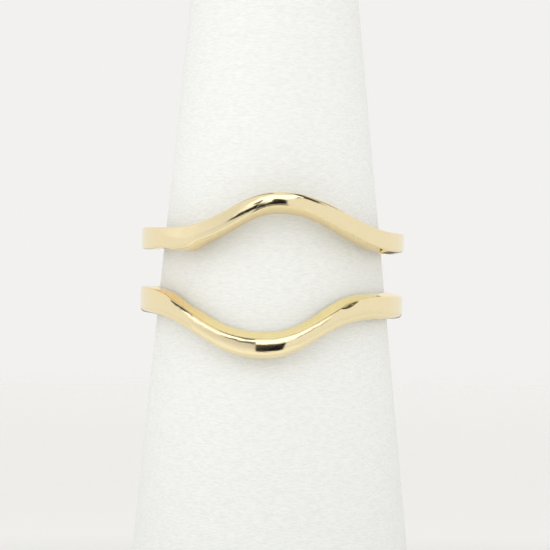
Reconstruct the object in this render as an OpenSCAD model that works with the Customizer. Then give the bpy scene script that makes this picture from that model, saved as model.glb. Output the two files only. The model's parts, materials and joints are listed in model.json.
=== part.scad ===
// Ring guard enhancer on a display cone.
// Two contoured bands, joined by a bridge at the back, sit on a plain ring cone.
// Z runs up the cone, -Y is the front, where the two bands bow apart, and +X is the right side.
// The origin is the middle of the cone's flat base.

/* [Finger size] */
// Inside diameter of the guard, a US size 7
finger_d = 17.3; // [14:0.1:22]

/* [Bands] */
// Thickness of the bands at the sides and the back
shank_t = 1; // [0.8:0.05:1.4]
// Thickness of the bands at the front
front_t = 1.35; // [1:0.05:1.8]
// Width of the upper band
upper_w = 1.64; // [1.4:0.02:2.6]
// Width of the lower band
lower_w = 1.9; // [1.4:0.02:2.6]
// Share by which a band's outer half is narrower halfway up its arch
outer_waist = 0.13; // [0:0.01:0.3]
// The same for the upper band's half beside the eye
upper_eye_waist = 0.08; // [0:0.01:0.3]
// The same for the lower band's half beside the eye
lower_eye_waist = 0.38; // [0:0.01:0.4]
// Clear gap between the bands at the sides and the back
shank_gap = 2.7; // [1.8:0.1:4]

/* [Arches] */
// Rise of the upper band's arch at the front
upper_rise = 2.7; // [1:0.02:4]
// Drop of the lower band's arch at the front
lower_rise = 2.96; // [1:0.02:4]
// Angle from the front to an arch's crest: the upper one to the right, the lower one to the left
crest_angle = 3.3; // [0:0.1:10]
// Angle from the crest to half of the rise, on the short side
short_half_angle = 23.8; // [18:0.1:34]
// Angle from the crest to half of the rise, on the long side
long_half_angle = 29.2; // [18:0.1:34]
// Power of the arch's bell curve: higher is a flatter crest with steeper sides
bell_power = 2.28; // [2:0.01:3]

/* [Faces] */
// Slant of the wall that faces the eye, as a height, at the upper band's crest
upper_flare = 0.66; // [0.3:0.02:0.9]
// Slant of the wall that faces the eye, as a height, at the lower band's crest
lower_flare = 0.48; // [0.3:0.02:0.9]
// Power of the bell curve by which the upper band's slant fades beside the crest
upper_flare_power = 5; // [0.5:0.5:6]
// Power of the bell curve by which the lower band's slant fades beside the crest
lower_flare_power = 1; // [0.5:0.5:6]
// Height of the low slanted strip that runs on beside the arch
strip_h = 0.26; // [0:0.02:0.4]
// Radius of the outer face's crown at the front
crown_r = 3.6; // [1.5:0.1:8]
// Place of the upper band's highest line, as a share of the face from its crease
upper_crown_place = 0.3; // [0:0.05:0.8]
// Place of the lower band's highest line, as a share of the face from its crease
lower_crown_place = 0.65; // [0:0.05:0.8]
// Radius of the upper band's edge that faces away from the eye, at the front
upper_edge_r = 0.16; // [0.05:0.01:0.4]
// Radius of the lower band's edge that faces away from the eye, at the front
lower_edge_r = 0.34; // [0.05:0.01:0.4]
// Share by which those edges are rounder at the sides
side_edge_growth = 0.4; // [0:0.05:0.6]
// Radius of the crease between the outer face and the slanted wall, at the front
crease_r = 0.05; // [0.02:0.01:0.1]
// The same at the sides and the back
side_crease_r = 0.2; // [0.02:0.01:0.3]

/* [Bridge] */
// Width of the bridge along the back of the bands
bridge_w = 3.6; // [2:0.1:6]
// Thickness of the bridge, flush with the inside of the bands
bridge_t = 0.7; // [0.5:0.05:0.75]
// Length by which the bridge runs into each band
bridge_sink = 0.4; // [0.2:0.05:0.8]

/* [Display cone] */
// Height of the cone
cone_h = 55; // [50:0.5:70]
// Angle of the cone's side from upright
cone_taper = 5.57; // [4:0.05:7]
// Radius of the rounded top edge
cone_top_round = 4.4; // [1:0.1:4.5]
// Radius of the rounded base edge
cone_base_round = 0.8; // [0.3:0.1:1.5]

/* [Seat] */
// Height of the guard's middle above the base
seat_z = 25; // [20:0.5:32]
// Lean of the guard on the cone, right side down
seat_lean = 1; // [0:0.1:1.5]
// Least gap between the guard and the cone
seat_gap = 0.06; // [0.03:0.01:0.2]

/* [Hidden] */

finger_r = finger_d / 2;

// Angles, from the front, between which the front form fades into the plain sides
FRONT_FULL = 25;
FRONT_END = 80;

// Angles of the sections: close together along the arch, wider apart round the back
FRONT_STEP = 2.5;
BACK_STEP = 5;
ARCH_ENDS = [-70, 80];
ANGLES = [
    for (a = [ARCH_ENDS[0] : FRONT_STEP : ARCH_ENDS[1]]) a,
    for (a = [ARCH_ENDS[1] + BACK_STEP : BACK_STEP : 360 + ARCH_ENDS[0] - BACK_STEP]) a
];
// Depth by which a band's section reaches into the bore before the bore is cut
BORE_OVER = 0.3;
// Angles at which the slanted strip starts, is full, starts to fade and has gone
UPPER_STRIP = [-38, -32, 90, 150];
LOWER_STRIP = [-150, -90, 0, 10];
// Swellings and hollows of the edge beside the eye: angle, half width and height of each
UPPER_SWELLS = [[-40.5, 6, 0.3], [-57, 8, -0.17]];
LOWER_SWELLS = [[43, 8, -0.15]];

// What sets one band's section apart from the other's
UPPER = [
    upper_w, upper_rise, upper_eye_waist, upper_flare, upper_flare_power, UPPER_STRIP, UPPER_SWELLS,
    upper_crown_place, upper_edge_r
];
LOWER = [
    lower_w, lower_rise, lower_eye_waist, lower_flare, lower_flare_power, LOWER_STRIP, LOWER_SWELLS,
    lower_crown_place, lower_edge_r
];

// The cone's side grows by this much for each millimetre down
cone_slope = tan(cone_taper);
// Lowest reach of the guard below its middle, at the front and at the back
front_reach = shank_gap / 2 + lower_w + lower_rise;
back_reach = shank_gap / 2 + lower_w;
// The guard's front arch and its back both meet the cone, so it sits a little forward
seat_forward = cone_slope * (front_reach - back_reach) / 2;
cone_mid_r = finger_r - cone_slope * (front_reach + back_reach) / 2 - seat_gap;
cone_base_r = cone_mid_r + cone_slope * seat_z;

// 0 at angle from, 1 at angle to, smooth between and level beyond
function ramp(a, from, to) =
    let (s = min(1, max(0, (a - from) / (to - from))))
    s * s * (3 - 2 * s);

// Angle from the front, between -180 and 180
function signed(a) = a > 180 ? a - 360 : a;

// Share of the arch's rise at an angle: 1 at the crest, 0.5 at the half angles
function bell(a) =
    let (d = a - crest_angle, half = d < 0 ? short_half_angle : long_half_angle)
    pow(0.5, pow(abs(d) / half, bell_power));

// Slope of the arch at an angle, as share of the rise over length along the outside
function bell_slope(a) = (bell(a + 0.5) - bell(a - 0.5)) / (PI / 180 * (finger_r + front_t));

// Sum of the swellings of an edge at an angle
function swelling(a, swells) =
    [for (s = swells) s[2] * exp(-pow((a - s[0]) / s[1], 2))] * [for (s = swells) 1];

// Outline of a band's section as [radius, height] from the bore's upper side round the outer face
function section(a, b) =
    let (
        band_w = b[0],
        arch_rise = b[1],
        eye_waist = b[2],
        flare = b[3],
        flare_power = b[4],
        strip_ends = b[5],
        swells = b[6],
        crown_place = b[7],
        front = ramp(abs(a), FRONT_END, FRONT_FULL),
        edge_r = b[8] * (1 + side_edge_growth * (1 - front)),
        bevel = side_crease_r + (crease_r - side_crease_r) * front,
        rise = bell(a),
        flank = 4 * rise * (1 - rise),
        half = band_w / 2 * sqrt(1 + pow(arch_rise * bell_slope(a), 2)),
        middle = (shank_gap + band_w) / 2 + arch_rise * rise,
        top = middle + half * (1 - outer_waist * flank),
        plain_low = middle - half * (1 - eye_waist * flank),
        low = plain_low - swelling(a, swells),
        strip = strip_h * ramp(a, strip_ends[0], strip_ends[1]) * ramp(a, strip_ends[3], strip_ends[2]),
        crease = max(low, plain_low + strip + (flare - strip) * pow(rise, flare_power)),
        face_top = top - edge_r,
        face_low = crease + bevel,
        face_h = face_top - face_low,
        peak = finger_r + shank_t + (front_t - shank_t) * front,
        face = function (s) peak - front * pow((s - crown_place) * face_h, 2) / (2 * crown_r),
        wall_r = face(0) - bevel,
        wall_drop = (crease - low) * BORE_OVER / (wall_r - finger_r)
    )
    [
        [finger_r - BORE_OVER, top],
        for (e = [90, 60, 30]) [face(1) - edge_r * (1 - cos(e)), face_top + edge_r * sin(e)],
        for (s = [1 : -0.25 : 0]) [face(s), face_low + face_h * s],
        [wall_r, crease],
        [finger_r - BORE_OVER, low - wall_drop]
    ];

// Point of a section at an angle round the finger
function around(a, p) = [p[0] * sin(a), -p[0] * cos(a), p[1]];

// A closed band: its sections swept once round the finger
module band(b) {
    sections = [for (a = ANGLES) section(signed(a), b)];
    n = len(sections);
    m = len(sections[0]);
    points = [for (i = [0 : n - 1]) for (p = sections[i]) around(ANGLES[i], p)];
    faces = [
        for (i = [0 : n - 1]) for (j = [0 : m - 1])
            let (
                here = i * m + j,
                up = i * m + (j + 1) % m,
                next = (i + 1) % n * m + j,
                next_up = (i + 1) % n * m + (j + 1) % m
            )
            each [[here, next, up], [up, next, next_up]]
    ];
    polyhedron(points = points, faces = faces);
}

// The plain bridge between the bands at the back
module bridge() {
    height = shank_gap + 2 * bridge_sink;
    intersection() {
        translate([0, 0, -height / 2])
            cylinder(r = finger_r + bridge_t, h = height, $fn = 96);
        translate([-bridge_w / 2, 0, -height])
            cube([bridge_w, finger_d, 2 * height]);
    }
}

module ring_guard() {
    bore_h = 4 * front_reach;
    color([0.93, 0.76, 0.42])
        translate([0, -seat_forward, seat_z])
            rotate([0, seat_lean, 0])
                difference() {
                    union() {
                        band(UPPER);
                        rotate([0, 180, 0]) band(LOWER);
                        bridge();
                    }
                    translate([0, 0, -bore_h / 2])
                        cylinder(r = finger_r, h = bore_h, $fn = 96);
                }
}

// Points of a rounded edge of the cone, tangent to its side, with its middle at height z
function edge_arc(z, r, from, to) =
    let (middle = cone_base_r - (r + z * sin(cone_taper)) / cos(cone_taper))
    [for (i = [0 : 8]) let (e = from + (to - from) * i / 8) [middle + r * cos(e), z + r * sin(e)]];

module display_cone() {
    // The top edge's rounding is limited by the radius of the top
    top_room = (cone_base_r - cone_h * cone_slope) * cos(cone_taper) / (1 - sin(cone_taper));
    top_r = min(cone_top_round, top_room - 0.2);
    color([0.96, 0.96, 0.94])
        rotate_extrude($fn = 96)
            polygon(concat(
                [[0, 0]],
                edge_arc(cone_base_round, cone_base_round, -90, cone_taper),
                edge_arc(cone_h - top_r, top_r, cone_taper, 90),
                [[0, cone_h]]
            ));
}

ring_guard();
display_cone();
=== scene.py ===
"""A gold ring guard on a white display cone, in metres: +Z up, -Y the front, the origin under the cone."""

import json
import math

import bmesh
import bpy
from mathutils import Matrix, Vector

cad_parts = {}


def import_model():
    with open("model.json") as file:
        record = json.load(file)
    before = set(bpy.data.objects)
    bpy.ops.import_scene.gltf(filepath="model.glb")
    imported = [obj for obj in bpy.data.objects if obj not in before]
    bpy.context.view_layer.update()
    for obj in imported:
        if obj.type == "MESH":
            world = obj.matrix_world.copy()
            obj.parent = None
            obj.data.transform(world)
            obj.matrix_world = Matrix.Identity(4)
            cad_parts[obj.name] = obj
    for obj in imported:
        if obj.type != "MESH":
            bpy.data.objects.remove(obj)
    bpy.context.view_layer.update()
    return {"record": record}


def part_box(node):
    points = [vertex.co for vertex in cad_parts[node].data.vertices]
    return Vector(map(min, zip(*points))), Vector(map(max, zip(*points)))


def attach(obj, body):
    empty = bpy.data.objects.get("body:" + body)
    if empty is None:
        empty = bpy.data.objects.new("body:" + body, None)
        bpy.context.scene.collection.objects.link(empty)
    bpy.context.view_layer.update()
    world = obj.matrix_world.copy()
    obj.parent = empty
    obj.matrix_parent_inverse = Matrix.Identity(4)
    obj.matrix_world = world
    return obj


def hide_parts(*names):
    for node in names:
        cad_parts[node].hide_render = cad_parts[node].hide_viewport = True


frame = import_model()

MM = 0.001

# Sizes of the guard, the same as the solid's. Angles are in degrees from the front
FINGER_R = 8.65 * MM
SHANK_T = 1.0 * MM
FRONT_T = 1.35 * MM
OUTER_WAIST = 0.13
SHANK_GAP = 2.7 * MM
CREST_ANGLE = 3.3
SHORT_HALF_ANGLE = 23.8
LONG_HALF_ANGLE = 29.2
BELL_POWER = 2.28
FRONT_FULL = 25.0
FRONT_END = 80.0
STRIP_H = 0.26 * MM
CROWN_R = 3.6 * MM
SIDE_EDGE_GROWTH = 0.4
CREASE_EDGE = 0.05 * MM
SIDE_CREASE_EDGE = 0.2 * MM
# What sets one band's section apart from the other's. strip_ends are the angles at which the slanted strip
# starts, is full, starts to fade and has gone. swells and spots are (angle, half width, size). crown is
# (angle, share of the full crown, place of the highest line as a share of the face)
UPPER = {
    "width": 1.64 * MM,
    "rise": 2.7 * MM,
    "eye_waist": 0.08,
    "flare": 0.66 * MM,
    "flare_power": 5.0,
    "strip_ends": (-38, -32, 90, 150),
    "swells": ((-40.5, 6, 0.3 * MM), (-57, 8, -0.17 * MM)),
    "crown": ((-80, 0, 0.3), (-25, 1, 0.3), (5, 1, 0.3), (13, 0.35, 0.5), (60, 0, 0.5)),
    "edge": 0.16 * MM,
    "edge_spots": ((17, 7, 0.14 * MM),),
    "crease_spots": (),
    "bore_edge": 0.3 * MM,
}
LOWER = {
    "width": 1.9 * MM,
    "rise": 2.96 * MM,
    "eye_waist": 0.38,
    "flare": 0.48 * MM,
    "flare_power": 1.0,
    "strip_ends": (-150, -90, 0, 10),
    "swells": ((43, 8, -0.15 * MM),),
    "crown": ((-80, 0, 0.65), (-25, 1, 0.65), (25, 1, 0.65), (80, 0, 0.65)),
    "edge": 0.34 * MM,
    "edge_spots": (),
    "crease_spots": ((-34.5, 3.5, 0.3 * MM),),
    "bore_edge": 0.1 * MM,
}
BRIDGE_W = 3.6 * MM
BRIDGE_T = 0.7 * MM
BRIDGE_SINK = 0.4 * MM

# Fine finishing of the guard, which its solid doesn't have
BORE_EDGE = 0.1 * MM
BRIDGE_EDGE = 0.16 * MM
BRIDGE_INSET = 0.03 * MM
SOLDER_FILLET = 0.3 * MM
SOLDER_RISE = 0.2 * MM

# Sizes of the cone and the seat of the guard on it
CONE_TAPER = math.radians(5.57)
CONE_SLOPE = math.tan(CONE_TAPER)
CONE_BASE_ROUND = 0.8 * MM
CONE_TOP_ROUND = 4.4 * MM
CONE_TOP_FLAT = 0.2 * MM
SEAT_LEAN = math.radians(1)
SEAT_Z = next(m["pos_m"][2] for m in frame["record"]["mounts"] if m["name"] == "ring_channel")
SEAT_FORWARD = CONE_SLOPE * LOWER["rise"] / 2
# Heights of the channel between the bands at the sides
CHANNEL = (SEAT_Z - SHANK_GAP / 2, SEAT_Z + SHANK_GAP / 2)
SEAT = Matrix.Translation((0, -SEAT_FORWARD, SEAT_Z)) @ Matrix.Rotation(SEAT_LEAN, 4, "Y")
HALF_TURN = Matrix.Rotation(math.pi, 4, "Y")

# Fineness of the meshes: numbers of steps round or along each form
BAND_SECTIONS = 720
FACE_STEPS = 12
AWAY_EDGE_STEPS = 12
CREASE_STEPS = 8
BORE_EDGE_STEPS = 5
TOP_STEPS = 3
WALL_STEPS = 4
BRIDGE_LEVELS = 40
BRIDGE_EDGE_STEPS = 5
BRIDGE_SIDE_STEPS = 8
CONE_SECTORS = 256
CONE_BASE_STEPS = 12
CONE_SIDE_STEPS = 96
CONE_TOP_STEPS = 24
FLOOR_SECTORS = 96
# Points of the soldered mesh that are closer than this become one
WELD = 0.002 * MM

# Tones of the gold on the outer faces, and painted reflection tones on the walls beside the channel and the
# eye, with painted shade on the upper wall near the bore
FACE_GOLD = (0.95, 0.82, 0.53, 1)
FACE_GOLD_DEEP = (0.94, 0.805, 0.51, 1)
UPPER_WALL_PAINTED_SHADE = (0.74, 0.57, 0.33, 1)
UPPER_WALL_PAINTED_REFLECTION = (1.0, 0.84, 0.48, 1)
LOWER_WALL_LEFT_PAINTED_REFLECTION = (0.99, 0.69, 0.24, 1)
LOWER_WALL_PAINTED_REFLECTION = (1.0, 0.84, 0.42, 1)
# X from which the lower wall's painted reflection, deeper orange on the left, fades, and where it has gone
LEFT_FADE = (-7 * MM, -4.2 * MM)
# Distances outwards from the bore between which the upper wall goes from painted shade near the bore to its
# painted reflection tone further out
WALL_FADE = (0.1 * MM, 1.3 * MM)
# How much a face looks up or down, from where it starts to count as a wall to where it is one and takes the
# walls' painted reflection and shade tones
WALL_TILT = (0.3, 0.75)
# Sizes of the polish along X, Y and Z: soft waves, fine lines and a haze of colour
WAVES = (1.1 * MM, 1.1 * MM, 0.8 * MM)
LINES = (1.6 * MM, 1.6 * MM, 0.03 * MM)
HAZE = (0.5 * MM, 0.5 * MM, 0.5 * MM)
WAVE_RELIEF = 0.012 * MM
LINE_RELIEF = 0.0006 * MM
GOLD_ROUGHNESS = (0.06, 0.1)

# Tones of the leatherette: low and high in the grain, and in soft clouds
GRAIN_LOW = (0.795, 0.808, 0.793, 1)
GRAIN_HIGH = (0.865, 0.878, 0.858, 1)
CLOUD_TONE = (0.845, 0.853, 0.838, 1)
CLOUD_STRENGTH = 0.25
# Sizes of the leatherette's forms along X, Y and Z: soft creases, cells with grooves between them, clouds
CREASES = (0.5 * MM, 0.5 * MM, 0.13 * MM)
CELLS = (0.5 * MM, 0.5 * MM, 0.17 * MM)
CLOUDS = (6 * MM, 6 * MM, 4 * MM)
# Width of a groove's side, as a share of a cell
GROOVE_SIDE = 0.25
# Values of the creases' noise between which the tone goes from low to high
GRAIN_SPAN = (0.35, 0.6)
GRAIN_RELIEF = 0.02 * MM
LEATHERETTE_ROUGHNESS = (0.62, 0.5)

# The range that soft noise mostly keeps to
NOISE_LOW = 0.3
NOISE_HIGH = 0.7
# Places of a Mix node's sockets for colours
MIX_SHARE = 0
MIX_FIRST = 6
MIX_SECOND = 7
MIX_RESULT = 2

# The room: a pale floor with painted shade that darkens it near the cone, which thins out into a plain pale
# surrounding
ROOM_SRGB = (242, 241, 239)
FLOOR_PAINTED_SHADE = (0.78, 0.78, 0.765, 1)
FLOOR_FAR = (0.945, 0.945, 0.93, 1)
FLOOR_NEAR_R = 20 * MM
FLOOR_FAR_R = 80 * MM
FLOOR_FADE_R = 150 * MM
FLOOR_R = 600 * MM
FLOOR_ROUGHNESS = 0.7

# The camera
LENS = 266.5
CAMERA_ELEVATION = math.radians(0.4)
CAMERA_ROLL = math.radians(0.5)
CAMERA_DISTANCE = 300 * MM
CAMERA_AIM = Vector((0.214 * MM, 0, SEAT_Z - 0.3 * MM))

# The middle of the guard, which the lights look at
GUARD = (0, 0, SEAT_Z)
# Soft lights: name, azimuth, elevation, distance, width, height and radiance
LIGHTS = (
    ("key", -12, 38, 150 * MM, 160 * MM, 100 * MM, 0.9),
    ("left_fill", -70, 8, 50 * MM, 40 * MM, 30 * MM, 0.6),
    ("right_fill", 65, 8, 50 * MM, 40 * MM, 30 * MM, 0.55),
)

# Places on the upper band that have cards of their own close by
UPPER_LEFT = (-5.3 * MM, -8.6 * MM, SEAT_Z + 2.7 * MM)
UPPER_FLANK = (-2.6 * MM, -9.8 * MM, SEAT_Z + 4 * MM)
UPPER_CREST = (-0.7 * MM, -10.1 * MM, SEAT_Z + 4.75 * MM)
UPPER_RIGHT = (2.9 * MM, -9.7 * MM, SEAT_Z + 5.3 * MM)
# Distances of the cards. The lower a card reaches, the closer it stands, so that it stays above the floor
FAR = 280 * MM
LOW = 120 * MM
LOWEST = 50 * MM

# Cards that show only in reflections: name, centre, distance from it, and corners, each of them given as
# (azimuth, elevation, brightness)
CARDS = (
    # The dark blocks on the crests, and the white streaks above them and beside them
    (
        "front_dark", GUARD, FAR,
        ((-12, -4, 0.03), (-1, -4, 0.01), (11, -4, 0.01), (11, 7.5, 0.02), (-1, 7.5, 0.02), (-12, 7, 0.1)),
    ),
    (
        "front_dark_foot", GUARD, LOW,
        ((-12, -10.5, 0.03), (-1, -10.5, 0.01), (11, -10.5, 0.01), (11, -4, 0.01), (-12, -4, 0.03)),
    ),
    ("front_bright", GUARD, FAR, ((-12, 8.5, 1.8), (14, 8.5, 1.8), (14, 17, 1.4), (-12, 17, 1.5))),
    ("right_bright", GUARD, FAR, ((14, 8.5, 1.8), (45, 8, 1.0), (45, 14, 1.0), (14, 17, 1.4))),
    ("left_bright", GUARD, FAR, ((-12, 12.5, 1.8), (-12, 17, 1.5), (-38, 14, 1.3), (-38, 8.5, 1.5))),
    ("left_streak", GUARD, FAR, ((-38, 8.5, 1.4), (-38, 13, 1.2), (-65, 10, 1.5), (-65, 6.5, 1.6))),
    ("far_streak", GUARD, FAR, ((-65, 6.5, 1.6), (-65, 10, 1.5), (-82, 7.8, 1.5), (-82, 7, 1.5))),
    # The dark lines beside the left streaks, and the shade below them
    ("left_dark", GUARD, FAR, ((-38, 7, 0.1), (-12, 7.5, 0.02), (-12, 12, 0.02), (-38, 8.5, 0.1))),
    (
        "far_dark", GUARD, FAR,
        (
            (-96, 7, 0.02), (-80, 8.5, 0.02), (-64, 12.5, 0.02),
            (-64, 16, 0.02), (-80, 20, 0.02), (-96, 20, 0.02),
        ),
    ),
    (
        "left_grey", GUARD, FAR,
        ((-12, -3, 0.75), (-12, 6.5, 0.62), (-38, 6.5, 0.72), (-75, 2, 0.85), (-75, -3, 0.89)),
    ),
    (
        "left_grey_foot", GUARD, LOW,
        (
            (-12, -10.5, 1.0), (-12, -3, 0.75), (-38, -3, 0.8),
            (-75, -3, 0.89), (-75, -10.5, 1.0), (-38, -10.5, 1.0),
        ),
    ),
    # The dark lines and wedges on the right
    ("right_line", GUARD, FAR, ((18, 6.5, 0.1), (45, 6, 0.3), (45, 7.2, 0.3), (18, 8, 0.1))),
    ("upper_right_dark", GUARD, FAR, ((24, 18, 0.1), (50, 18, 0.03), (50, 70, 0.03), (24, 70, 0.2))),
    (
        "far_right_dark", GUARD, FAR,
        ((59, 24, 0.1), (66, 20, 0.1), (75, 18, 0.1), (75, 85, 0.1), (59, 85, 0.1)),
    ),
    # The dark upper edges
    ("left_ceiling", GUARD, FAR, ((-105, 42, 0.2), (-8, 42, 0.2), (-8, 75, 0.2), (-105, 75, 0.2))),
    (
        "right_ceiling", GUARD, FAR,
        ((50, 50, 0.2), (80, 60, 0.3), (110, 62, 0.4), (110, 80, 0.4), (50, 80, 0.2)),
    ),
    # Dark and bright bars for the back
    ("right_back_dark", GUARD, LOWEST, ((152, -20, 0.7), (166, -20, 0.15), (166, -7, 0.15), (152, -7, 0.7))),
    ("back_bright", GUARD, LOWEST, ((173, -20, 1.5), (187, -20, 1.5), (187, -7, 1.5), (173, -7, 1.5))),
    (
        "left_back_dark", GUARD, LOWEST,
        ((-166, -20, 0.15), (-152, -20, 0.7), (-152, -7, 0.7), (-166, -7, 0.15)),
    ),
    # Cards close to the upper band. Seen from the lower band they stand much higher
    (
        "near_dark", UPPER_FLANK, 25 * MM,
        ((-43, 1, 0.02), (-30, 5.5, 0.02), (-9, 7, 0.02), (-9, -3, 0.02), (-30, -1.5, 0.02)),
    ),
    (
        "near_bright", UPPER_CREST, 24 * MM,
        ((-12.5, 8.5, 1.8), (0, 8.5, 1.8), (0, 3, 1.2), (-6, 1, 0.9), (-12.5, 4, 0.5)),
    ),
    (
        "near_left", UPPER_LEFT, 27 * MM,
        (
            (-125, 4.5, 0.89), (-125, 30, 0.89), (-100, 30, 0.98), (-60, 30, 0.82),
            (-33, 30, 0.82), (-33, 4.5, 0.8), (-60, 4.5, 0.78), (-100, 4.5, 0.98),
        ),
    ),
    (
        "near_mid", UPPER_FLANK, 27 * MM,
        ((-39, 1.5, 0.75), (-39, 18.5, 0.8), (-13, 8.5, 0.95), (-13, 7, 1.3), (-30, 5.6, 1.1)),
    ),
    (
        "near_right_dark", UPPER_RIGHT, 25 * MM,
        ((26, 6.5, 0.05), (46, 6.5, 0.02), (46, 50, 0.02), (26, 50, 0.1)),
    ),
)


def ramp(value, start, end):
    """0 at start, 1 at end, smooth between and level beyond."""
    s = min(1.0, max(0.0, (value - start) / (end - start)))
    return s * s * (3 - 2 * s)


def bell(angle):
    """Share of the arch's rise at an angle in degrees from the front."""
    d = angle - CREST_ANGLE
    half = SHORT_HALF_ANGLE if d < 0 else LONG_HALF_ANGLE
    return 0.5 ** ((abs(d) / half) ** BELL_POWER)


def bell_slope(angle):
    """Slope of an arch at an angle, as share of its rise over length along the outside."""
    return (bell(angle + 0.5) - bell(angle - 0.5)) / (math.radians(1) * (FINGER_R + FRONT_T))


def spots(angle, places):
    """Sum at an angle of smooth local changes, each given as (angle, half width, size)."""
    return sum(size * math.exp(-((angle - at) / width) ** 2) for at, width, size in places)


def between(angle, keys):
    """Values at an angle, eased between keys of (angle, value, value)."""
    if angle <= keys[0][0]:
        return keys[0][1:]
    for (start, *low), (end, *high) in zip(keys, keys[1:]):
        if angle <= end:
            t = ramp(angle, start, end)
            return [a + (b - a) * t for a, b in zip(low, high)]
    return keys[-1][1:]


def bend(before, corner, after, size, steps):
    """Points of a smooth bend of that size round a corner between two straight lines."""
    back = (before - corner).normalized() * size
    ahead = (after - corner).normalized() * size
    shares = [k / steps for k in range(steps + 1)]
    return [corner + back * (1 - t) ** 2 + ahead * t ** 2 for t in shares]


def straight(start, end, steps):
    """Points between two points, without the two."""
    return [start.lerp(end, k / steps) for k in range(1, steps)]


def band_section(angle, sizes):
    """Outline of a band's section at an angle, as points (radius, height)."""
    front = ramp(abs(angle), FRONT_END, FRONT_FULL)
    away_edge = sizes["edge"] * (1 + SIDE_EDGE_GROWTH * (1 - front)) + spots(angle, sizes["edge_spots"])
    crease_edge = SIDE_CREASE_EDGE + (CREASE_EDGE - SIDE_CREASE_EDGE) * front
    crease_edge += spots(angle, sizes["crease_spots"])
    crown, crown_place = between(angle, sizes["crown"])
    rise = bell(angle)
    flank = 4 * rise * (1 - rise)
    half = sizes["width"] / 2 * math.hypot(1, sizes["rise"] * bell_slope(angle))
    middle = (SHANK_GAP + sizes["width"]) / 2 + sizes["rise"] * rise
    top = middle + half * (1 - OUTER_WAIST * flank)
    plain_low = middle - half * (1 - sizes["eye_waist"] * flank)
    low = plain_low - spots(angle, sizes["swells"])
    start, full, fading, gone = sizes["strip_ends"]
    strip = STRIP_H * ramp(angle, start, full) * ramp(angle, gone, fading)
    crease = max(low, plain_low + strip + (sizes["flare"] - strip) * rise ** sizes["flare_power"])
    peak = FINGER_R + SHANK_T + (FRONT_T - SHANK_T) * front
    face_top = top - away_edge
    face_low = crease + crease_edge
    crown_z = face_low + (face_top - face_low) * crown_place

    def face(z):
        return peak - crown * (z - crown_z) ** 2 / (2 * CROWN_R)

    def tangent(z, to):
        return face(z) - crown * (z - crown_z) / CROWN_R * (to - z)

    bore_top = Vector((FINGER_R, top))
    bore_low = Vector((FINGER_R, low))
    corner_top = Vector((tangent(face_top, top), top))
    corner_low = Vector((tangent(face_low, crease), crease))
    levels = [face_top + (face_low - face_top) * k / FACE_STEPS for k in range(FACE_STEPS + 1)]
    outer = [Vector((face(z), z)) for z in levels]
    bends = [
        bend(bore_low, bore_top, corner_top, BORE_EDGE, BORE_EDGE_STEPS),
        bend(bore_top, corner_top, outer[0], away_edge, AWAY_EDGE_STEPS),
        bend(outer[-1], corner_low, bore_low, crease_edge, CREASE_STEPS),
        bend(corner_low, bore_low, bore_top, sizes["bore_edge"], CREASE_STEPS),
    ]
    return (
        bends[0]
        + straight(bends[0][-1], bends[1][0], TOP_STEPS)
        + bends[1]
        + outer[1:-1]
        + bends[2]
        + straight(bends[2][-1], bends[3][0], WALL_STEPS)
        + bends[3]
        + straight(bends[3][-1], bends[0][0], WALL_STEPS)
    )


def grid_faces(rows, columns, closed):
    """Quads between rows of points that each close on themselves. closed joins the last row to the first."""
    return [
        (
            i * columns + j,
            i * columns + (j + 1) % columns,
            (i + 1) % rows * columns + (j + 1) % columns,
            (i + 1) % rows * columns + j,
        )
        for i in range(rows if closed else rows - 1)
        for j in range(columns)
    ]


def mesh_object(name, points, faces):
    """A new object in the scene, from the points and faces of its mesh."""
    mesh = bpy.data.meshes.new(name)
    mesh.from_pydata([tuple(p) for p in points], [], faces)
    obj = bpy.data.objects.new(name, mesh)
    bpy.context.scene.collection.objects.link(obj)
    return obj


def band(name, sizes):
    """A closed band: its sections swept once round the finger."""
    points = []
    for i in range(BAND_SECTIONS):
        angle = 360 * i / BAND_SECTIONS - 180
        a = math.radians(angle)
        section = band_section(angle, sizes)
        points += [Vector((r * math.sin(a), -r * math.cos(a), z)) for r, z in section]
    columns = len(points) // BAND_SECTIONS
    return mesh_object(name, points, grid_faces(BAND_SECTIONS, columns, closed=True))


def fillet(z, size):
    """Growth of the bridge at a height, where solder fills the corner beside a band."""
    start = SHANK_GAP / 2 - size
    along = min(size, max(0.0, abs(z) - start))
    return size - math.sqrt(size * size - along * along)


def bridge():
    """The bridge at the back, with solder in the corners where it meets the bands."""
    reach = SHANK_GAP / 2 + BRIDGE_SINK
    points = []
    for i in range(BRIDGE_LEVELS + 1):
        z = reach * -math.cos(math.pi * i / BRIDGE_LEVELS)
        half = BRIDGE_W / 2 + fillet(z, SOLDER_FILLET)
        inner = FINGER_R + BRIDGE_INSET
        outer = FINGER_R + BRIDGE_T + fillet(z, SOLDER_FILLET) * SOLDER_RISE / SOLDER_FILLET
        corners = [Vector(p) for p in ((half, inner), (-half, inner), (-half, outer), (half, outer))]
        sizes = (BRIDGE_INSET, BRIDGE_INSET, BRIDGE_EDGE, BRIDGE_EDGE)
        outline = []
        for k in range(4):
            turn = bend(corners[k - 1], corners[k], corners[(k + 1) % 4], sizes[k], BRIDGE_EDGE_STEPS)
            if outline:
                outline += straight(outline[-1], turn[0], BRIDGE_SIDE_STEPS)
            outline += turn
        outline += straight(outline[-1], outline[0], BRIDGE_SIDE_STEPS)
        points += [Vector((x, math.sqrt(r * r - x * x), z)) for x, r in outline]
    columns = len(points) // (BRIDGE_LEVELS + 1)
    last = BRIDGE_LEVELS * columns
    faces = grid_faces(BRIDGE_LEVELS + 1, columns, closed=False)
    faces.append(tuple(reversed(range(columns))))
    faces.append(tuple(range(last, last + columns)))
    return mesh_object("bridge", points, faces)


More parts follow.
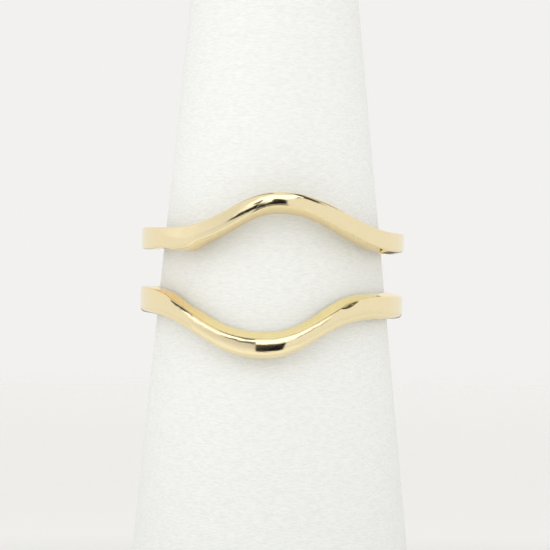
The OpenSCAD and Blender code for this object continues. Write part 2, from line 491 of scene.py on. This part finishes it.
def soldered(name, first, *others):
    """One object that is the union of several, without slivers. The several are removed."""
    for other in others:
        union = first.modifiers.new("solder", "BOOLEAN")
        union.operation = "UNION"
        union.solver = "EXACT"
        union.object = other
    depsgraph = bpy.context.evaluated_depsgraph_get()
    mesh = bpy.data.meshes.new_from_object(first.evaluated_get(depsgraph))
    mesh.name = name
    form = bmesh.new()
    form.from_mesh(mesh)
    bmesh.ops.remove_doubles(form, verts=form.verts, dist=WELD)
    bmesh.ops.dissolve_degenerate(form, edges=form.edges, dist=WELD)
    bmesh.ops.triangulate(form, faces=[f for f in form.faces if len(f.verts) > 4])
    form.to_mesh(mesh)
    form.free()
    joined = bpy.data.objects.new(name, mesh)
    bpy.context.scene.collection.objects.link(joined)
    for old in (first, *others):
        bpy.data.objects.remove(old)
    return joined


def smooth(obj, sharp_degrees):
    """Smooth shading, except across edges sharper than an angle."""
    obj.data.shade_smooth()
    obj.data.set_sharp_from_angle(angle=math.radians(sharp_degrees))


def ring_guard():
    """Both bands and their bridge as one soldered piece, in its seat on the cone."""
    upper = band("upper_band", UPPER)
    lower = band("lower_band", LOWER)
    lower.data.transform(HALF_TURN)
    guard = soldered("gold_ring_guard", upper, lower, bridge())
    guard.data.transform(SEAT)
    smooth(guard, sharp_degrees=50)
    return guard


def cone_arc(base_r, z, size, start, end, steps):
    """Points of a rounded edge of the cone, tangent to its side, with its middle at height z."""
    middle = base_r - (size + z * math.sin(CONE_TAPER)) / math.cos(CONE_TAPER)
    angles = [start + (end - start) * k / steps for k in range(steps + 1)]
    return [(middle + size * math.cos(e), z + size * math.sin(e)) for e in angles]


def display_cone():
    """The covered cone, turned round its axis from one profile."""
    low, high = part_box("display_cone")
    height = high.z
    widest = (high.x - low.x) / 2
    base_r = widest - CONE_BASE_ROUND + CONE_BASE_ROUND * (1 + math.sin(CONE_TAPER)) / math.cos(CONE_TAPER)
    top_room = (base_r - height * CONE_SLOPE) * math.cos(CONE_TAPER) / (1 - math.sin(CONE_TAPER))
    top_round = min(CONE_TOP_ROUND, top_room - CONE_TOP_FLAT)
    lower = cone_arc(base_r, CONE_BASE_ROUND, CONE_BASE_ROUND, -math.pi / 2, CONE_TAPER, CONE_BASE_STEPS)
    upper = cone_arc(base_r, height - top_round, top_round, CONE_TAPER, math.pi / 2, CONE_TOP_STEPS)
    side = [tuple(p) for p in straight(Vector(lower[-1]), Vector(upper[0]), CONE_SIDE_STEPS)]
    profile = [(lower[0][0] / 2, 0), *lower, *side, *upper, (upper[-1][0] / 2, height)]
    points = [
        Vector((r * math.sin(a), -r * math.cos(a), z))
        for r, z in profile
        for a in (2 * math.pi * k / CONE_SECTORS for k in range(CONE_SECTORS))
    ]
    faces = grid_faces(len(profile), CONE_SECTORS, closed=False)
    bottom = len(points)
    points += [Vector((0, 0, 0)), Vector((0, 0, height))]
    last = (len(profile) - 1) * CONE_SECTORS
    for k in range(CONE_SECTORS):
        after = (k + 1) % CONE_SECTORS
        faces.append((bottom, after, k))
        faces.append((bottom + 1, last + k, last + after))
    cone = mesh_object("leatherette_cone", points, faces)
    smooth(cone, sharp_degrees=60)
    return cone


def linear(value):
    """A linear share from an sRGB value between 0 and 255."""
    v = value / 255
    return v / 12.92 if v <= 0.04045 else ((v + 0.055) / 1.055) ** 2.4


class Material:
    """A node-based material with one Principled shader, and short calls to add nodes to it."""

    def __init__(self, name):
        self.made = bpy.data.materials.new(name)
        self.made.use_nodes = True
        self.nodes = self.made.node_tree.nodes
        self.links = self.made.node_tree.links
        self.shader = self.nodes["Principled BSDF"]
        self.place = self.add("ShaderNodeTexCoord").outputs["Object"]

    def add(self, kind, inputs=None, **settings):
        """A new node. An input's value is a number, a colour or another node's output."""
        node = self.nodes.new(kind)
        for name, value in settings.items():
            setattr(node, name, value)
        for name, value in (inputs or {}).items():
            self.put(node.inputs[name], value)
        return node

    def put(self, socket, value):
        """Sets a socket to a number or a colour, or links another node's output to it."""
        if isinstance(value, bpy.types.NodeSocket):
            self.links.new(value, socket)
        else:
            socket.default_value = value

    def set(self, **inputs):
        """Values or links of the shader's own sockets; _ stands for a space."""
        for name, value in inputs.items():
            self.put(self.shader.inputs[name.replace("_", " ")], value)

    def stretched(self, lengths):
        """The place on the object, in shares of a length along each axis."""
        scale = tuple(1 / length for length in lengths)
        return self.add("ShaderNodeMapping", {"Vector": self.place, "Scale": scale}).outputs["Vector"]

    def noise(self, place, detail, roughness=0.5):
        """Soft noise mostly between NOISE_LOW and NOISE_HIGH, with features about one unit apart."""
        inputs = {"Vector": place, "Scale": 1.0, "Detail": detail, "Roughness": roughness}
        return self.add("ShaderNodeTexNoise", inputs).outputs["Fac"]

    def over_noise(self, noise, low, high):
        """The range of soft noise, spread over low to high."""
        return self.spread(noise, NOISE_LOW, NOISE_HIGH, low, high)

    def spread(self, value, start, end, low, high):
        """A value between start and end, spread over low to high."""
        inputs = {"Value": value, "From Min": start, "From Max": end, "To Min": low, "To Max": high}
        return self.add("ShaderNodeMapRange", inputs).outputs["Result"]

    def tint(self, share, first, second):
        """A colour between two, by a share."""
        inputs = {MIX_SHARE: share, MIX_FIRST: first, MIX_SECOND: second}
        return self.add("ShaderNodeMix", inputs, data_type="RGBA").outputs[MIX_RESULT]

    def bump(self, height, distance, normal=None):
        """The normal of a relief whose height of 1 stands out by a distance, on top of another normal."""
        node = self.add("ShaderNodeBump", {"Height": height, "Distance": distance})
        if normal is not None:
            self.put(node.inputs["Normal"], normal)
        return node.outputs["Normal"]


def painted_wall_mask(m):
    """1 where the surface looks up or down towards the middle of the guard, 0 elsewhere: where the walls'
    painted reflection and shade tones go.
    """
    level = m.add("ShaderNodeSeparateXYZ", {0: m.place}).outputs["Z"]
    side = m.spread(level, *CHANNEL, 1.0, -1.0)
    normal = m.add("ShaderNodeNewGeometry").outputs["Normal"]
    upward = m.add("ShaderNodeSeparateXYZ", {0: normal}).outputs["Z"]
    towards = m.add("ShaderNodeMath", {0: side, 1: upward}, operation="MULTIPLY").outputs["Value"]
    return m.spread(towards, *WALL_TILT, 0.0, 1.0)


def gold():
    """Polished yellow gold with the soft waves and fine lines that a polishing wheel leaves, and painted
    reflection and shade tones on the walls beside the channel and the eye.
    """
    m = Material("polished_gold")
    waves = m.noise(m.stretched(WAVES), detail=1.0)
    lines = m.noise(m.stretched(LINES), detail=2.0)
    haze = m.noise(m.stretched(HAZE), detail=3.0)
    face = m.tint(m.over_noise(haze, 0.0, 1.0), FACE_GOLD, FACE_GOLD_DEEP)
    place = m.add("ShaderNodeSeparateXYZ", {0: m.place})
    # Painted reflection: the lower wall is a deeper orange on the left
    left = m.spread(place.outputs["X"], *LEFT_FADE, 1.0, 0.0)
    lower_wall_painted = m.tint(left, LOWER_WALL_PAINTED_REFLECTION, LOWER_WALL_LEFT_PAINTED_REFLECTION)
    level = m.add(
        "ShaderNodeMapping",
        {"Vector": m.place, "Location": (0, SEAT_FORWARD, 0), "Scale": (1, 1, 0)},
    ).outputs["Vector"]
    # Painted shade: the upper wall is darker near the bore, in the crevice against the cone
    radius = m.add("ShaderNodeVectorMath", {0: level}, operation="LENGTH").outputs["Value"]
    outward = m.spread(radius, FINGER_R + WALL_FADE[0], FINGER_R + WALL_FADE[1], 0.0, 1.0)
    upper_wall_painted = m.tint(outward, UPPER_WALL_PAINTED_SHADE, UPPER_WALL_PAINTED_REFLECTION)
    above = m.spread(place.outputs["Z"], *CHANNEL, 0.0, 1.0)
    # The walls take painted reflection tones in place of the face's gold, chosen by which way the surface
    # looks
    colour = m.tint(painted_wall_mask(m), face, m.tint(above, lower_wall_painted, upper_wall_painted))
    roughness = m.over_noise(lines, *GOLD_ROUGHNESS)
    normal = m.bump(lines, LINE_RELIEF, normal=m.bump(waves, WAVE_RELIEF))
    m.set(Base_Color=colour, Roughness=roughness, Metallic=1.0, Normal=normal)
    return m.made


def leatherette():
    """White leatherette: a fine grain of soft creases and grooved cells, longer sideways than upwards."""
    m = Material("white_leatherette")
    creases = m.noise(m.stretched(CREASES), detail=3.0, roughness=0.6)
    cells = m.add(
        "ShaderNodeTexVoronoi",
        {"Vector": m.stretched(CELLS), "Scale": 1.0},
        feature="DISTANCE_TO_EDGE",
    ).outputs["Distance"]
    clouds = m.noise(m.stretched(CLOUDS), detail=2.0)
    grooves = m.spread(cells, 0.0, GROOVE_SIDE, 0.0, 1.0)
    height = m.add("ShaderNodeMath", {0: creases, 1: grooves}, operation="MULTIPLY").outputs["Value"]
    grain = m.tint(m.spread(creases, *GRAIN_SPAN, 0.0, 1.0), GRAIN_LOW, GRAIN_HIGH)
    colour = m.tint(m.over_noise(clouds, 0.0, CLOUD_STRENGTH), grain, CLOUD_TONE)
    roughness = m.over_noise(creases, *LEATHERETTE_ROUGHNESS)
    normal = m.bump(height, GRAIN_RELIEF)
    m.set(Base_Color=colour, Roughness=roughness, Normal=normal)
    return m.made


def dress(obj, material, slot, *nodes):
    """Gives a piece its material, hangs it under the root and hides the nodes it stands for."""
    obj.data.materials.clear()
    obj.data.materials.append(material)
    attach(obj, "root")
    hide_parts(*nodes)


def floor():
    """A round pale floor with painted shade near the cone, which thins out towards its rim."""
    angles = [2 * math.pi * k / FLOOR_SECTORS for k in range(FLOOR_SECTORS)]
    rim = [(FLOOR_R * math.cos(a), FLOOR_R * math.sin(a), 0) for a in angles]
    obj = mesh_object("floor", rim, [tuple(range(FLOOR_SECTORS))])
    m = Material("pale_floor")
    far = m.add("ShaderNodeVectorMath", {0: m.place}, operation="LENGTH").outputs["Value"]
    # Painted shade: the floor is darker near the cone
    tone = m.tint(m.spread(far, FLOOR_NEAR_R, FLOOR_FAR_R, 0.0, 1.0), FLOOR_PAINTED_SHADE, FLOOR_FAR)
    m.set(Base_Color=tone, Roughness=FLOOR_ROUGHNESS, Alpha=m.spread(far, FLOOR_FADE_R, FLOOR_R, 1.0, 0.0))
    obj.data.materials.append(m.made)


def world():
    """The plain pale surrounding."""
    made = bpy.data.worlds.new("studio")
    made.use_nodes = True
    colour = [linear(value) for value in ROOM_SRGB]
    made.node_tree.nodes["Background"].inputs["Color"].default_value = (*colour, 1.0)
    bpy.context.scene.world = made


def around(centre, azimuth, elevation, distance):
    """A place seen from a centre: azimuth 0 is the front and 90 the right side, in degrees."""
    a, e = math.radians(azimuth), math.radians(elevation)
    way = Vector((math.sin(a) * math.cos(e), -math.cos(a) * math.cos(e), math.sin(e)))
    return Vector(centre) + way * distance


def softbox(name, azimuth, elevation, distance, width, height, radiance):
    """A soft rectangular light that looks at the guard and isn't reflected in it."""
    light = bpy.data.lights.new(name, "AREA")
    light.shape = "RECTANGLE"
    light.size = width
    light.size_y = height
    light.energy = radiance * math.pi * width * height
    obj = bpy.data.objects.new(name, light)
    bpy.context.scene.collection.objects.link(obj)
    place = around(GUARD, azimuth, elevation, distance)
    obj.location = place
    obj.rotation_euler = (Vector(GUARD) - place).to_track_quat("-Z", "Y").to_euler()
    obj.visible_camera = False
    obj.visible_glossy = False


def card(name, centre, distance, corners):
    """A card that shows only in reflections, with the brightness blended between its corners."""
    points = [around(centre, azimuth, elevation, distance) for azimuth, elevation, shade in corners]
    obj = mesh_object(name, points, [tuple(range(len(points)))])
    shades = obj.data.attributes.new("shade", "FLOAT", "POINT")
    shades.data.foreach_set("value", [shade for azimuth, elevation, shade in corners])
    m = Material(name)
    shade = m.add("ShaderNodeAttribute", attribute_name="shade").outputs["Fac"]
    m.set(
        Base_Color=(0, 0, 0, 1),
        Specular_IOR_Level=0.0,
        Emission_Color=(1, 1, 1, 1),
        Emission_Strength=shade,
    )
    obj.data.materials.append(m.made)
    obj.visible_camera = False
    obj.visible_diffuse = False
    obj.visible_shadow = False


def camera():
    """The camera at the photograph's viewing angle."""
    data = bpy.data.cameras.new("camera")
    data.sensor_width = 36
    data.lens = LENS
    data.clip_start = 0.01
    data.clip_end = 10
    obj = bpy.data.objects.new("camera", data)
    bpy.context.scene.collection.objects.link(obj)
    back = Vector((0, -math.cos(CAMERA_ELEVATION), math.sin(CAMERA_ELEVATION)))
    right = Vector((1, 0, 0))
    up = back.cross(right)
    axes = Matrix((right, up, back)).transposed() @ Matrix.Rotation(CAMERA_ROLL, 3, "Z")
    obj.matrix_world = Matrix.Translation(CAMERA_AIM + back * CAMERA_DISTANCE) @ axes.to_4x4()
    bpy.context.scene.camera = obj


dress(display_cone(), leatherette(), "leatherette", "display_cone")
dress(ring_guard(), gold(), "gold", "ring_guard")
floor()
world()
for light in LIGHTS:
    softbox(*light)
for row in CARDS:
    card(*row)
camera()
bpy.context.scene.view_settings.view_transform = "Standard"
